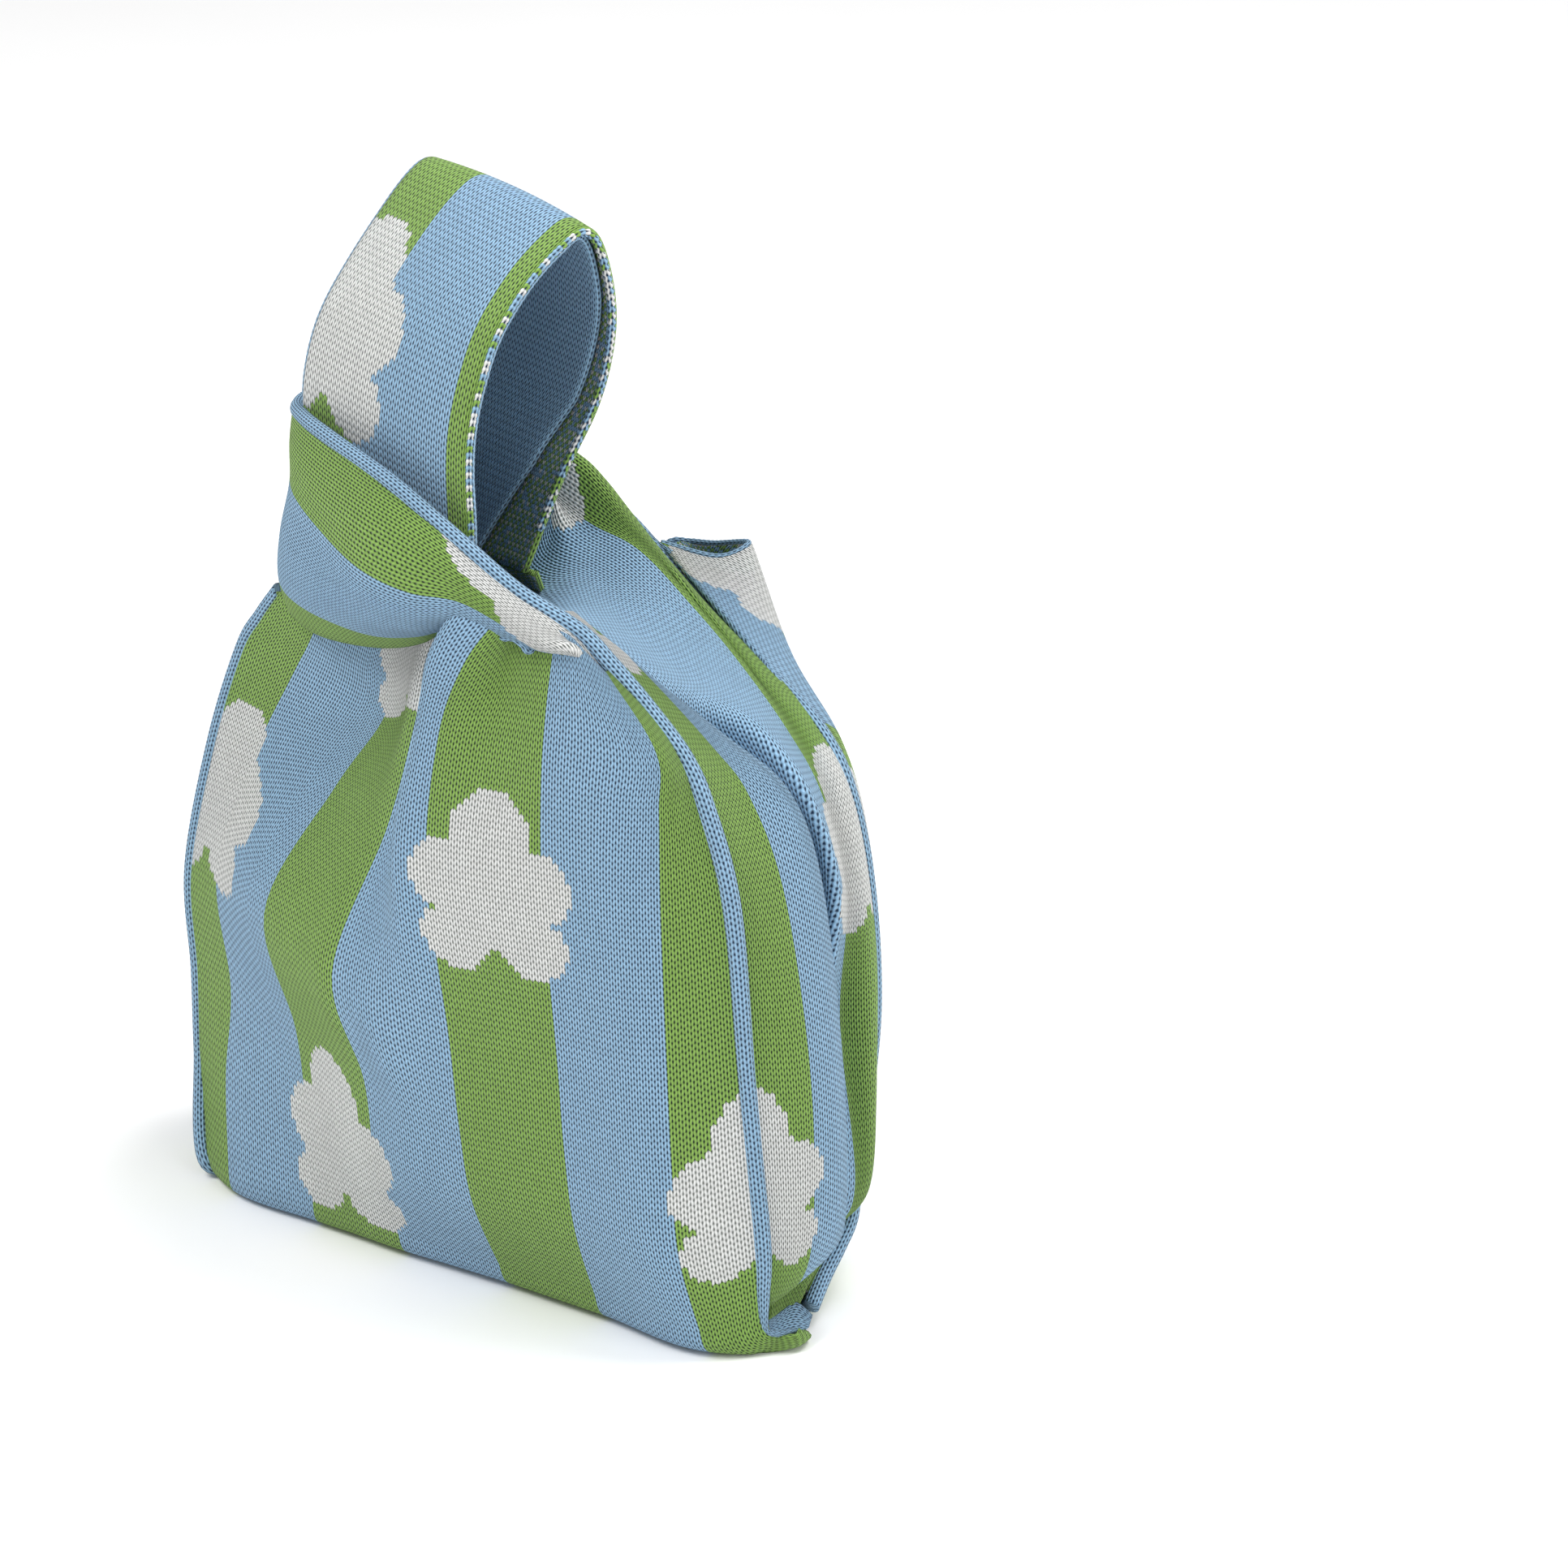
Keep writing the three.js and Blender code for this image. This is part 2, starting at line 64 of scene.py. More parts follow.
FRONT_LINES = {
    0: [(-86, -34, 2), (-99, -19.5, 30), (-101, -17, 52), (-103.5, -15, 80), (-92, -17, 119),
        (-79, -19, 149), (-70, -21, 161), (-62, -23, 170)],
    12: [(-70.5, -41, 2), (-80, -30, 30), (-80.5, -26, 55), (-87, -22.5, 86), (-73.5, -21, 122),
         (-55.5, -25, 150), (-47, -28.5, 161), (-40, -31.5, 171)],
    32: [(-42, -40, 2), (-44, -39, 30), (-48, -37.5, 56), (-57.5, -37.3, 87), (-41, -27, 122),
         (-20, -31.5, 148), (-14, -36, 164), (-8, -39, 176)],
    44: [(-26, -39, 2), (-27, -44, 30), (-28, -46, 56), (-36.5, -46.5, 85), (-25, -35, 122),
         (-10, -35, 149), (-5, -39, 166), (2, -41, 184)],
    50: [(-16, -38.5, 2), (-16, -47.5, 30), (-17.5, -50, 56), (-26.5, -51, 84), (-16.5, -38.5, 122),
         (-8, -37.5, 150), (-2, -40, 167), (8, -43, 188)],
    54: [(-9, -38, 2), (-10, -48.5, 30), (-10.5, -51.4, 56), (-18.5, -52.5, 84), (-9, -42, 122),
         (1.6, -41, 155), (8, -43, 175), (14, -44, 190)],
    60: [(1, -37, 2), (0, -50, 30), (-1, -53, 52), (-8, -54, 80), (-2, -48.5, 122), (11, -46.5, 157),
         (15, -50, 178), (19.5, -49, 191)],
    66: [(11, -36.5, 2), (10, -50, 30), (9.2, -53.3, 52), (5, -54.5, 80), (1.2, -55, 122),
         (8.3, -53.5, 158), (16.3, -57, 180), (25.5, -55, 196.5)],
    72: [(20, -36, 2), (20.5, -50, 30), (19, -53, 52), (17, -54, 78), (11.5, -54.5, 122),
         (15.5, -53.4, 158), (25.5, -55.3, 180), (35, -52, 194)],
    80: [(32.4, -36.2, 2), (32.7, -48.8, 30), (31, -51.3, 52), (29.2, -52, 78), (25, -53.4, 122),
         (27.2, -50.8, 156), (31.5, -49, 174), (36, -48.3, 188)],
    92: [(51, -36.5, 2), (51, -47, 30), (49.3, -48.8, 52), (47.5, -49, 78), (45, -50.5, 122),
         (45, -50.3, 150), (45, -48, 169), (46, -45, 190)],
    112: [(84.5, -37.3, 2), (81, -44, 30), (79, -44, 52), (77, -43, 78), (75, -42.5, 122),
          (74.5, -42.2, 148), (73.5, -42, 163), (57.2, -41, 180)],
    124: [(96, -27, 6), (95, -28, 30), (93, -28.7, 52), (91, -29, 78), (88, -31, 122),
          (81.6, -33, 148), (73.5, -34.4, 163), (57.2, -38.5, 181.5)],
}
SEAM = [(-99, -2, 1), (-40, -5, 1), (40, -7, 1), (97, -9, 1)]


def smooth(points, at, marks=None):
    """Points of the smooth line through the given ones; at counts from 0 to 1 along them, or in marks."""
    p = np.array(points, float)
    x = np.linspace(0, 1, len(p)) if marks is None else np.array(marks, float)
    at = np.asarray(at, float)
    gap = np.diff(x)[:, None]
    slope = np.diff(p, axis=0) / gap
    middle = (slope[:-1] * gap[1:] + slope[1:] * gap[:-1]) / (gap[1:] + gap[:-1])
    lean = np.vstack([slope[:1], middle, slope[-1:]])
    i = np.clip(np.searchsorted(x, at, side="right") - 1, 0, len(p) - 2)
    h = gap[i]
    t = (at - x[i])[:, None] / h
    start = (2 * t**3 - 3 * t**2 + 1) * p[i] + (t**3 - 2 * t**2 + t) * h * lean[i]
    end = (3 * t**2 - 2 * t**3) * p[i + 1] + (t**3 - t**2) * h * lean[i + 1]
    return start + end


def face(lines, wales, rises):
    """A grid of points on a knitted face, wales by rises, through its lines."""
    marks = sorted(lines)
    rails = np.array([smooth(lines[m], rises) for m in marks])
    return np.stack([smooth(rails[:, j], wales, marks) for j in range(len(rises))], axis=1)


def steps(points):
    """Length along a line of points, from its start."""
    return np.concatenate([[0], np.cumsum(np.linalg.norm(np.diff(points, axis=0), axis=1))])


def courses(grid):
    """Courses (rows of stitches) counted up each wale of a face."""
    return np.array([steps(column) for column in grid]) / COURSE


def outward(grid):
    """The normal at each point of a grid."""
    across = np.gradient(grid, axis=0)
    up = np.gradient(grid, axis=1)
    n = np.cross(across, up)
    return n / np.maximum(np.linalg.norm(n, axis=2, keepdims=True), 1e-9)


def piece(name, points, faces, counts, materials, slots):
    """A new piece of the bag. The wales and courses at each corner of its faces become the UV map."""
    mesh = bpy.data.meshes.new(name)
    mesh.from_pydata((points * MM).tolist(), [], faces)
    uv = mesh.uv_layers.new(name="Knit")
    uv.data.foreach_set("uv", counts.astype(np.float32).ravel())
    for material in materials:
        mesh.materials.append(material)
    mesh.polygons.foreach_set("material_index", slots)
    mesh.shade_smooth()
    mesh.update()
    made = bpy.data.objects.new(name, mesh)
    bpy.context.collection.objects.link(made)
    return made


def quads(index):
    """The four-sided faces of a grid of point numbers."""
    return np.stack([index[:-1, :-1], index[1:, :-1], index[1:, 1:], index[:-1, 1:]], axis=2).reshape(-1, 4)


def cloth(name, grid, u, v, materials, lift=0.0):
    """Knitted cloth with a right side, a wrong side and edges. u and v count its wales and courses."""
    nu, nv = grid.shape[:2]
    u = np.broadcast_to(np.asarray(u, float).reshape(nu, -1), (nu, nv))
    v = np.broadcast_to(np.asarray(v, float), (nu, nv))
    n = outward(grid)
    right = grid + n * (lift + FABRIC / 2)
    wrong = grid + n * (lift - FABRIC / 2)
    points = np.vstack([right.reshape(-1, 3), wrong.reshape(-1, 3)])
    index = np.arange(nu * nv).reshape(nu, nv)
    under = index + nu * nv
    front_faces = quads(index)
    back_faces = quads(under)[:, [0, 3, 2, 1]]
    rim = []
    for a, b, flip in (
        (index[:, 0], under[:, 0], False), (index[:, -1], under[:, -1], True),
        (index[0], under[0], True), (index[-1], under[-1], False),
    ):
        edge = np.stack([a[:-1], b[:-1], b[1:], a[1:]], axis=1)
        rim.append(edge[:, ::-1] if flip else edge)
    faces = np.vstack([front_faces, back_faces, *rim])
    corners = faces.ravel()
    counts = np.stack([u.ravel(), v.ravel()], axis=1)[corners % (nu * nv)]
    # Across its thickness an edge shows one stitch, first at both ends and then along both sides.
    through = np.floor(counts - 0.01) + 0.1 + 0.8 * (corners >= nu * nv)[:, None]
    ends = 4 * (len(front_faces) + len(back_faces))
    sides = ends + 8 * (nu - 1)
    counts[ends:sides, 1] = through[ends:sides, 1]
    counts[sides:, 0] = through[sides:, 0]
    slots = np.zeros(len(faces), np.int32)
    slots[len(front_faces):len(front_faces) + len(back_faces)] = len(materials) - 1
    return piece(name, points, faces.tolist(), counts, materials, slots)


class Knit:
    """One value of a material's node tree, with arithmetic."""

    def __init__(self, tree, socket=None):
        self.tree = tree
        self.socket = socket

    def node(self, kind, sockets, output=0, **settings):
        """The output of a new node. Its settings come first, then a link or a value for each socket."""
        made = self.tree.nodes.new(kind)
        for key, value in settings.items():
            setattr(made, key, value)
        for key, value in sockets.items():
            if isinstance(value, Knit):
                self.tree.links.new(value.socket, made.inputs[key])
            elif isinstance(value, tuple):
                made.inputs[key].default_value = (*value, 1)
            else:
                made.inputs[key].default_value = value
        return Knit(self.tree, made.outputs[output])

    def math(self, operation, other=None):
        sockets = {0: self} if other is None else {0: self, 1: other}
        return self.node("ShaderNodeMath", sockets, operation=operation)

    def __add__(self, other):
        return self.math("ADD", other)

    def __sub__(self, other):
        return self.math("SUBTRACT", other)

    def __mul__(self, other):
        return self.math("MULTIPLY", other)

    def __truediv__(self, other):
        return self.math("DIVIDE", other)

    def __pow__(self, other):
        return self.math("POWER", other)

    def __lt__(self, other):
        return self.math("LESS_THAN", other)

    def __gt__(self, other):
        return self.math("GREATER_THAN", other)

    def __rsub__(self, other):
        return self.node("ShaderNodeMath", {0: other, 1: self}, operation="SUBTRACT")

    __radd__ = __add__
    __rmul__ = __mul__

    def blend(self, low, high):
        """The colour low where this value is 0, and high where it is 1."""
        # Sockets 6 and 7 and output 2 are the colours of a mix node.
        return self.node("ShaderNodeMix", {0: self, 6: low, 7: high}, output=2, data_type="RGBA")


def stitches(name, fine=None):
    """A new knitted material, its shader and the place in a stitch. fine is stitches to a wale."""
    material = bpy.data.materials.new(name)
    material.use_nodes = True
    tree = material.node_tree
    shader = tree.nodes["Principled BSDF"]
    shader.inputs["Sheen Weight"].default_value = 0.12
    shader.inputs["Sheen Roughness"].default_value = 0.5
    shader.inputs["Specular IOR Level"].default_value = 0.25
    where = Knit(tree).node("ShaderNodeUVMap", {}, uv_map="Knit")
    u = where.node("ShaderNodeSeparateXYZ", {0: where})
    v = Knit(tree, u.socket.node.outputs[1])
    if fine:
        u = u * fine
        v = v * fine
    wale = u.math("FLOOR")
    aside = ((u - wale) * 2 - 1).math("ABSOLUTE")
    lean = v + aside * 0.5
    course = lean.math("FLOOR")
    along = lean - course
    return material, shader, wale, course, aside, along


def chance_of(wale, course):
    """A number from 0 to 1 for each stitch, by chance."""
    cell = wale.node("ShaderNodeCombineXYZ", {0: wale, 1: course})
    return wale.node("ShaderNodeTexWhiteNoise", {0: cell}, noise_dimensions="2D")


# How a stitch is drawn: its holes, the swelling of its legs, their painted shade (lighter along each leg's
# middle, darker at its sides and ends, and dark in the holes), a tone that differs at random from stitch to
# stitch, their roughness and their relief.
HOLE_ACROSS, HOLE_ALONG, HOLE_SIZE, HOLE_EDGE = 4.4, 4.0, 1.55, 1.1
LEG_ENDS, LEG_SWELL = 0.55, 0.9
DARKEST, LEG_LIGHT, CHANCE_TONE = 0.62, 0.42, 0.09
ROUGHEST, LEG_POLISH = 0.96, 0.14
RELIEF, RELIEF_STRENGTH, HOLE_DEPTH, CHANCE_HEIGHT = 0.0006, 0.8, 0.8, 0.12


def yarn(shader, colour, hole_shade, wale, course, aside, along):
    """Knitted loops over the given colours: two leaning legs to a stitch, with small holes between them.
    The roundness of the legs and the dark of the holes are painted shade in the base colour.
    """
    near_side = 0.5 - (aside - 0.5).math("ABSOLUTE")
    near_end = 0.5 - (along - 0.5).math("ABSOLUTE")
    reach = ((near_side * HOLE_ACROSS) ** 2 + (near_end * HOLE_ALONG) ** 2).math("SQRT")
    gap = ((HOLE_SIZE - reach) * HOLE_EDGE).math("MINIMUM", 1.0).math("MAXIMUM", 0.0)
    leg = (near_side * 2).math("SQRT") * (LEG_ENDS + near_end * LEG_SWELL)
    chance = chance_of(wale, course)
    # Painted shade: each leg is lighter along its middle and darker towards its sides and ends, and a tone
    # that differs at random from stitch to stitch is mixed in.
    painted_shade_and_tone = DARKEST + leg * LEG_LIGHT + chance * CHANCE_TONE
    lit = colour.node("ShaderNodeVectorMath", {0: colour, "Scale": painted_shade_and_tone}, operation="SCALE")
    rough = ROUGHEST - leg * LEG_POLISH
    height = leg - gap * HOLE_DEPTH + chance * CHANCE_HEIGHT
    relief = {"Strength": RELIEF_STRENGTH, "Distance": RELIEF, "Height": height}
    bump = height.node("ShaderNodeBump", relief)
    link = colour.tree.links.new
    # The holes between the legs take the painted shade colour.
    link(gap.blend(lit, hole_shade).socket, shader.inputs["Base Color"])
    link(rough.socket, shader.inputs["Roughness"])
    link(bump.socket, shader.inputs["Normal"])


# Half a flower: each lobe's middle, across and up from the flower's, its half width and half height.
PETALS = ((0, 8, 7, 7.2), (7.2, 0.3, 6.6, 6.3), (6.8, -9.6, 6, 5.2), (0, -2, 8, 9))


def flower(wale, course, columns):
    """Where a stitch is in a white flower. A column is a wale, one flower's course and their spacing."""
    middle, first, apart = columns[0]
    for old, new in zip(columns, columns[1:]):
        past = wale > (old[0] + new[0]) / 2
        middle = middle + past * (new[0] - old[0])
        first = first + past * (new[1] - old[1])
        apart = apart + past * (new[2] - old[2])
    side = (wale + 0.5 - middle).math("ABSOLUTE")
    # Twenty distances more keep the count above 0; the half puts a flower's middle at 0.
    rise = (course - first + apart * 20.5).math("MODULO", apart) - apart * 0.5
    near = None
    for x, y, wide, high in PETALS:
        reach = ((side - x) / wide) ** 2 + ((rise - y) / high) ** 2
        near = reach if near is None else near.math("MINIMUM", reach)
    return near < 1.0


STRIPE = 20
EDGE_STRIPE = 12


def jacquard(name, wales, columns):
    """Blue and green upright stripes, mirrored about the middle wale, with columns of white flowers."""
    material, shader, wale, course, aside, along = stitches(name)
    edge = wales / 2 - (wale + 0.5 - wales / 2).math("ABSOLUTE")
    green = ((edge + (STRIPE - EDGE_STRIPE)) / (2 * STRIPE)).math("FRACT") < 0.5
    white = flower(wale, course, columns)
    colour = white.blend(green.blend(BLUE, GREEN), WHITE)
    # The painted shade for the holes, in the dark of each yarn.
    hole_shade = white.blend(green.blend(BLUE_HOLE_SHADE, GREEN_HOLE_SHADE), WHITE_HOLE_SHADE)
    yarn(shader, colour, hole_shade, wale, course, aside, along)
    return material


def speckled(name):
    """The wrong side of the jacquard: the three yarns in small mixed stitches."""
    material, shader, wale, course, aside, along = stitches(name, fine=1.6)
    other = ((wale + course) / 2).math("FRACT") > 0.25
    pale = (course / 2).math("FRACT") > 0.25
    usual = chance_of(wale, course) > 0.2
    colour = other.blend(usual.blend(BLUE, GREEN), (pale * usual).blend(BLUE, WHITE))
    yarn(shader, colour, BLUE_HOLE_SHADE, wale, course, aside, along)
    return material


inside = speckled("knit_wrong_side")
front_wales = np.linspace(0, FRONT_WALES, 94)
front_rises = np.linspace(0.02, 1, 64)
wall = face(FRONT_LINES, front_wales, front_rises)

BASE_HEIGHT = 1
BASE_ROUND = 8
BASE_TURN = 7
RIM_DROP = 1.6
CORNER_WALES = 13
RIM_RISE = 4.2
SEAM_RISE = 4.4
SEAM_OUT = 9
SEAM_TUCK = 5


def turned_under(wall, inward):
    """Adds the rounded base edge under a wall and the flap that runs from it to the bottom seam."""
    seam = smooth(SEAM, np.linspace(0, 1, len(wall)))[::inward].copy()
    keep = [k for k in range(wall.shape[1]) if wall[:, k, 2].min() > BASE_ROUND]
    foot = wall[:, 0]
    start = foot + 0.75 * (wall[:, keep[0]] - foot)
    rim = foot.copy()
    rim[:, 2] = np.maximum(BASE_HEIGHT, foot[:, 2] - RIM_DROP)
    corner = np.zeros(len(wall))
    if inward > 0:
        # The front's right corner is drawn up and outwards, over the tucked foot of the gusset.
        corner = np.clip(1 - (FRONT_WALES - front_wales) / CORNER_WALES, 0, 1)
        rim[:, 2] = BASE_HEIGHT + RIM_RISE * np.clip(2 * corner - 1, 0, 1)
    else:
        # The back's right corner draws the seam in, clear of that foot.
        seam[:, 0] -= SEAM_TUCK * np.clip(1 - front_wales / CORNER_WALES, 0, 1)
    bulge = np.sin(np.pi * corner)
    rise = SEAM_RISE * np.clip(2 * corner - 1, 0, 1)
    seam += np.stack([2 * corner + SEAM_OUT * bulge, -10 * corner, rise], axis=1)
    rim[:, 0] += bulge
    to_seam = seam - rim
    length = np.linalg.norm(to_seam, axis=1, keepdims=True)
    turn = rim + to_seam / length * np.minimum(BASE_TURN, 0.4 * length)
    turn[:, 2] = np.maximum(BASE_HEIGHT, turn[:, 2])
    push = np.outer(np.minimum(1, 2 * corner), (2.5, -0.8, 0))
    rows = [seam + (turn - seam) * t + push * math.sin(math.pi * t) for t in np.linspace(0, 1, 9)]
    for t in np.linspace(0, 1, 12)[1:-1]:
        rows.append((1 - t) ** 2 * turn + 2 * t * (1 - t) * rim + t**2 * start)
    rows = np.stack(rows, axis=1)
    return np.concatenate([rows, wall[:, keep]], axis=1), rows.shape[1]


FRONT_FLOWERS = [(6.5, 57.5, 110), (42, 16, 95), (83, 72.4, 110), (125, 24.5, 115)]
FIRST_COURSE = 2
front_grid, turned = turned_under(wall, 1)
front_rows = courses(front_grid)
front_rows = front_rows - front_rows[:, turned:turned + 1] + FIRST_COURSE
# Beside the left rib the stitches are drawn a little longer.
front_rows *= np.interp(front_wales, [0, 12, 26], [0.86, 0.86, 1])[:, None]
front_knit = jacquard("front_jacquard", FRONT_WALES, FRONT_FLOWERS)
front = cloth("front_knit", front_grid, front_wales, front_rows, [front_knit, inside])
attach(front, "bag")
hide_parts("front_panel", "base_front")


# BACK OF THE BAG
# The other knitted face, in the same stripes and flowers, turned under and sewn to the front at the base.
# Its loose neck flares behind the short handle and folds over at the right; lines run from right to left.
BACK_LINES = {
    0: [(89, 17.5, 18), (88.5, 21, 31), (91.3, 25, 77), (89, 25, 110), (82.3, 25.5, 135),
        (58, 27.2, 158.3), (20, 29.8, 185.2)],
    7: [(82, 25, 9), (83, 32, 31), (84, 36, 77), (80.5, 38, 110), (72.5, 38, 137), (57, 38, 156),
        (33.5, 36, 182)],
    14: [(75, 30, 3), (77, 38, 31), (78.5, 43, 77), (74, 45, 110), (62.5, 46, 137), (50, 46, 155),
         (38, 44.5, 184)],
    24: [(66, 34, 2), (68, 43, 31), (69, 48, 77), (65, 50, 110), (56, 51, 137), (41, 51, 157),
         (20.5, 50, 178.8)],
    38: [(48, 36, 2), (50, 45, 31), (50, 50, 77), (46, 52, 110), (38, 51, 137), (26, 50, 157),
         (10, 46, 177.5)],
    50: [(26, 37, 2), (26, 46, 31), (25, 52, 77), (22, 52, 110), (17, 50, 135), (10, 42, 152),
         (2, 34, 166)],
    64: [(0, 38, 2), (0, 47, 31), (0, 53, 77), (0, 52, 108), (0, 48, 132), (0, 38, 150), (-2, 27, 162)],
    86: [(-38, 36, 2), (-40, 43, 31), (-42, 48, 77), (-38, 46, 108), (-32, 40, 132), (-25, 27, 152),
         (-18, 14, 167)],
    104: [(-70, 29, 2), (-72, 36, 31), (-74, 40, 77), (-70, 38, 106), (-62, 32, 132), (-51, 20, 152),
          (-40, 7, 168)],
    124: [(-101, 15, 2), (-103, 18, 31), (-105, 19, 77), (-101, 19, 106), (-91, 17, 132),
          (-77, 11, 152), (-61, 1, 168)],
}
BACK_FLOWERS = [(0, 64.5, 98), (42, 114, 100), (82, 66, 100), (124, 24, 100)]
GATHER_HEIGHTS = [125, 140, 150, 160, 175, 187]
GATHER_WALES = [0, 3, 12, 19, 26, 33]
back_grid, turned = turned_under(face(BACK_LINES, front_wales, front_rises), -1)
back_rows = courses(back_grid)
back_rows = back_rows - back_rows[:, turned:turned + 1] + FIRST_COURSE
back_knit = jacquard("back_jacquard", FRONT_WALES, BACK_FLOWERS)
# Towards the knot up to 33 wales fold out of sight at the right, so the others keep near their width.
gathered = np.interp(back_grid[..., 2], GATHER_HEIGHTS, GATHER_WALES)
back_wales = front_wales[:, None] + gathered * np.clip((FRONT_WALES - front_wales) / 90, 0, 1)[:, None]
back = cloth("back_knit", back_grid, back_wales, back_rows, [back_knit, inside])
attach(back, "bag")
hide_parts("back_panel", "base_back")


# GUSSETS
# The narrow knitted sides, joined to the faces at the corner ribs and folded inwards along their middles.
# At the right the back half runs on behind the knot as the inner face of the short handle.
GUSSET_WALES = 64
RIGHT_FRONT_HALF = {
    0: [(88, -20, 15), (94.7, -25, 14), (94.8, -28, 32), (91, -29, 76), (88, -31, 122),
        (81.6, -33, 148), (73.5, -34.4, 163), (57.2, -38.5, 181.5), (43, -44, 193.5)],
    12: [(88, -13, 18), (97, -17, 16.8), (102.8, -18, 34), (102, -18, 76), (94.2, -18, 122),
         (84, -18.5, 146), (75.5, -22.8, 159), (60.7, -33.3, 180), (45.7, -39.1, 192.1)],
    19: [(89, -6, 21), (99.1, -8, 21), (104.8, -9, 36), (103.6, -9, 76), (97, -9.5, 122),
         (88, -11, 146), (76, -19.5, 160.5), (60.8, -32.7, 179.2), (45.7, -38.3, 191.1)],
    26: [(89, -1, 25), (98.5, -2.5, 25.5), (100.5, -3, 37), (98.5, -2.5, 76), (94.5, -4.5, 123),
         (87.5, -8.5, 145.5), (75.5, -17.5, 159.5), (60, -31.9, 178), (45.1, -37.8, 190)],
    32: [(82, 3, 26), (90, 2, 28), (85, 2, 38), (82, 3, 76), (84, 1, 122), (79, -4, 142),
         (70, -12, 154.5), (56, -30, 175), (42.5, -37.5, 187.5)],
    35: [(79, 4, 24), (86, 4, 26), (81, 4, 36), (78, 5, 73), (80, 3, 119), (75, -2, 139),
         (66, -10, 151.5), (53, -28, 172), (40, -36, 185)],
}
RIGHT_BACK_HALF = {
    29: [(74, -12, 13), (78, 0, 20), (80, 0, 34), (78, 1, 73), (80, -1, 119), (75, -6, 139),
         (66, -14, 151.5), (53, -32, 172), (40, -39, 184.5), (21.5, -21.5, 179), (0.5, -2.5, 175),
         (-2.5, 5.5, 184), (-2, 10, 195)],
    32: [(76, -11.5, 13), (82, 2, 22), (85, 2, 36), (82, 3, 76), (84, 1, 122), (79, -4, 142),
         (70, -12, 154.5), (56, -30, 175), (42.5, -37.5, 187.5), (24, -20, 182), (3, -1, 178),
         (0, 7, 187), (0, 12, 197)],
    37: [(78, -11, 13), (84.5, 4.5, 21.5), (88.7, 4.3, 36), (83, 8, 75), (86, 5, 115), (79.5, 1, 139),
         (67, -6, 152.5), (59, -22, 172.5), (42.5, -22, 182), (23.5, -9, 182), (6, 3, 182.5),
         (1.5, 9.3, 190.5), (-2, 12.6, 199.5)],
    43: [(81, -10, 12.5), (87, 6, 21), (92.5, 6, 36), (89, 6, 77), (94, 3.5, 115.5), (88, 0.5, 140),
         (74.2, -1.5, 155.5), (57, -4, 165.5), (40, -6, 176), (22, 3, 181.5), (9, 7, 187),
         (3, 11, 194), (-4, 13, 202)],
    52: [(85, -8, 12), (89.5, 9, 19.5), (94.4, 12, 33), (89.6, 12, 77), (91, 12, 111),
         (82.5, 13.5, 135.5), (69, 17.5, 148.5), (50.5, 21.5, 162), (36, 20.8, 174.5),
         (22, 18.7, 186.5), (10, 15.5, 192), (0, 14, 197.5), (-12, 13, 205)],
    61: [(91, -4.5, 8), (89.5, 13, 19), (94.4, 18, 33), (95, 20, 77), (92, 20, 111),
         (84.5, 21, 135.5), (71.5, 23, 149), (52, 25.5, 162), (36.5, 24.8, 174.5), (22, 23.5, 187.5),
         (9.5, 20.5, 202.5), (1.5, 18.5, 208.5), (-12, 17, 216)],
    64: [(93, -5, 5.5), (89.8, 14.5, 18.5), (88.5, 20.5, 30), (91.3, 25, 77), (89, 25, 110.5),
         (82.3, 25.5, 135), (71.7, 26.2, 148.5), (56, 28.3, 159), (40, 28.8, 168.5),
         (26.5, 28.5, 179), (13.5, 26.5, 191), (1.5, 24.5, 199), (-14, 20.5, 211)],
}
FRONT_HALF_LAST = 35
BACK_HALF_FIRST = 29
CREST_BORDER = 52


def level(rows):
    """The same count on every wale, where a face is drawn in more on one side than on the other."""
    return np.mean(rows, axis=0)


gusset_knit = jacquard("gusset_jacquard", GUSSET_WALES, [(0, 29.5, 100), (64, 75, 100)])
half_wales = np.linspace(0, FRONT_HALF_LAST, 38)
half_grid = face(RIGHT_FRONT_HALF, half_wales, np.linspace(0, 1, 100))
half_rows = courses(half_grid) + FIRST_COURSE
right_front = cloth("right_gusset_front_half", half_grid, half_wales, half_rows, [gusset_knit, inside])
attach(right_front, "bag")
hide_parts("right_gusset")
crest_knit = jacquard("gusset_crest_jacquard", GUSSET_WALES, [(0, 28, 100), (60, 77, 87.5)])
half_wales = np.linspace(BACK_HALF_FIRST, GUSSET_WALES, 40)
half_grid = face(RIGHT_BACK_HALF, half_wales, np.linspace(0, 1, 140))
# Inside the border the wales are counted by their true width, so the stitches keep their size.
across = np.array([steps(row) for row in half_grid.transpose(1, 0, 2)]).T / WALE
to_border = across - np.array([np.interp(CREST_BORDER, half_wales, row) for row in across.T])
half_wales = half_wales[:, None]
crest_wales = np.where(half_wales < CREST_BORDER, CREST_BORDER + to_border, half_wales)
crest_rows = np.maximum(5, level(courses(half_grid)) - 1.3)
right_back = cloth("right_gusset_back_half", half_grid, crest_wales, crest_rows, [crest_knit, inside])
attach(right_back, "bag")

# The right gusset's foot is tucked in over the base. Its courses lie between flowers.
FOOT_COURSE = 60
RIGHT_FOOT = {
    0: [(94.8, -25.5, 9), (90, -19, 14)],
    6: [(94.6, -19.5, 9), (91, -11, 14)],
    12: [(95.6, -13.3, 8.8), (92.8, -3, 13)],
}
foot_wales = np.linspace(0, 12, 14)
foot_grid = face(RIGHT_FOOT, foot_wales, np.linspace(0, 1, 10))
foot_rows = courses(foot_grid) + FOOT_COURSE
right_foot = cloth("right_gusset_foot", foot_grid, foot_wales, foot_rows, [gusset_knit, inside])
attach(right_foot, "bag")

